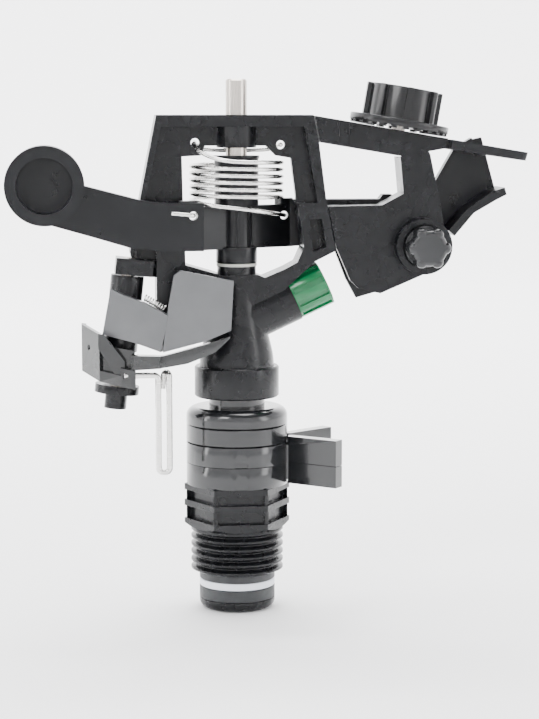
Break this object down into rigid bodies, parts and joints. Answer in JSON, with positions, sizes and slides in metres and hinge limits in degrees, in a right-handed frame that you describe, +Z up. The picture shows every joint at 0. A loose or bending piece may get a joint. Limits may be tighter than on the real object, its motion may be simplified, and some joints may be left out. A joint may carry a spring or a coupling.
{
  "type": "impact sprinkler",
  "caption": "Part-circle impact sprinkler with a male pipe inlet, sprung arm, trip mechanism, trip collars, jet deflector and diffuser.",
  "frame": {"origin": "on the inlet's axis at the lower end of the threaded length", "axes": "+Z up along the inlet and the fulcrum pin, +X the way the nozzle throws, -Y the side of the trip shield"},
  "size_m": [0.118, 0.0276, 0.121],
  "materials": {
    "nipple_plastic": "semi-gloss moulded black",
    "sleeve_plastic": "semi-gloss moulded black",
    "washer_rubber": "matt black rubber",
    "washer_white": "smooth white bearing plastic",
    "collar_plastic": "glossy black",
    "body_plastic": "semi-gloss moulded black",
    "nozzle_plastic": "glossy green",
    "pin_steel": "polished stainless steel",
    "spring_steel": "bright drawn stainless wire",
    "arm_plastic": "semi-gloss moulded black",
    "weight_metal": "dark cast metal",
    "shield_plastic": "glossy black",
    "trim_plastic": "pale bearing plastic"
  },
  "bodies": {
    "inlet": {"inlet_nipple": "nipple_plastic", "upper_seal_washer": "washer_rubber", "bearing_washer": "washer_white", "bearing_spring": "spring_steel", "retaining_ring": "collar_plastic"},
    "rotor": {"bearing_sleeve": "sleeve_plastic", "lower_seal_washer": "washer_rubber", "dust_cap": "collar_plastic", "body": "body_plastic", "fulcrum_pin": "pin_steel", "stream_straightener": "body_plastic", "hub_washer": "trim_plastic", "deflector_frame": "body_plastic", "flap_hinge_pin": "pin_steel", "knob_screw": "pin_steel", "pivot_pin": "pin_steel", "pivot_nut": "body_plastic", "spring_upper_tail": "spring_steel"},
    "impact_arm": {"arm": "arm_plastic", "counterweight": "weight_metal", "arm_spring": "spring_steel", "spring_lower_tail": "spring_steel"},
    "nozzle_insert": {"nozzle": "nozzle_plastic", "nozzle_seal": "washer_rubber"},
    "lower_collar": {"lower_trip_collar": "collar_plastic"},
    "upper_collar": {"upper_trip_collar": "collar_plastic"},
    "flap": {"deflector_flap": "arm_plastic"},
    "flap_knob": {"deflector_knob": "collar_plastic"},
    "diffuser_cap": {"diffuser_knob": "collar_plastic", "diffuser_pin": "body_plastic"},
    "trip": {"trip_lever": "shield_plastic"},
    "latch": {"reversing_latch": "shield_plastic", "trip_shield": "shield_plastic", "over_centre_spring": "spring_steel"},
    "wire": {"trip_wire": "spring_steel"}
  },
  "joints": [
    {"name": "body_spin", "type": "hinge", "parent": "inlet", "child": "rotor", "pos_m": [0, 0, 0], "axis": [0, 0, 1], "range_deg": [-165, 116]},
    {"name": "arm_swing", "type": "hinge", "parent": "rotor", "child": "impact_arm", "pos_m": [0, 0, 0.0736], "axis": [0, 0, 1], "range_deg": [0, 100], "stiffness_Nm_per_rad": 0.012, "springref_deg": -12, "deforming": ["arm_spring", "spring_lower_tail"]},
    {"name": "nozzle_twist", "type": "hinge", "parent": "rotor", "child": "nozzle_insert", "pos_m": [0, 0, 0.05633], "axis": [0.9063, 0, 0.4226], "range_deg": [0, 90]},
    {"name": "lower_collar_turn", "type": "hinge", "parent": "inlet", "child": "lower_collar", "pos_m": [0, 0, 0.022], "axis": [0, 0, 1], "range_deg": [-118, 168]},
    {"name": "upper_collar_turn", "type": "hinge", "parent": "inlet", "child": "upper_collar", "pos_m": [0, 0, 0.027], "axis": [0, 0, 1], "range_deg": [-118, 168]},
    {"name": "deflector_knob_turn", "type": "hinge", "parent": "rotor", "child": "flap_knob", "pos_m": [0.03689, 0, 0.10022], "axis": [0.1668, 0, 0.986], "range_deg": [0, 270]},
    {"name": "flap_tilt", "type": "hinge", "parent": "rotor", "child": "flap", "pos_m": [0.04253, 0, 0.0979], "axis": [0, 1, 0], "range_deg": [0, 12]},
    {"name": "diffuser_turn", "type": "hinge", "parent": "rotor", "child": "diffuser_cap", "pos_m": [0.0417, 0, 0.0743], "axis": [0, -1, 0], "range_deg": [0, 720]},
    {"name": "trip_lever_swing", "type": "hinge", "parent": "rotor", "child": "trip", "pos_m": [-0.0244, -0.001, 0.0714], "axis": [0.1028, 0, 0.9947], "range_deg": [-14, 0]},
    {"name": "latch_swing", "type": "hinge", "parent": "rotor", "child": "latch", "pos_m": [-0.0244, -0.001, 0.0714], "axis": [0.1028, 0, 0.9947], "range_deg": [-9.8, 0]},
    {"name": "trip_wire_flip", "type": "hinge", "parent": "trip", "child": "wire", "pos_m": [-0.021, -0.0086, 0.0459], "axis": [-1, 0, 0], "range_deg": [0, 90]}
  ],
  "couplings": [
    {"joint": "flap_tilt", "follows": "deflector_knob_turn", "ratio": 0.044444},
    {"joint": "latch_swing", "follows": "trip_lever_swing", "ratio": 0.7}
  ]
}
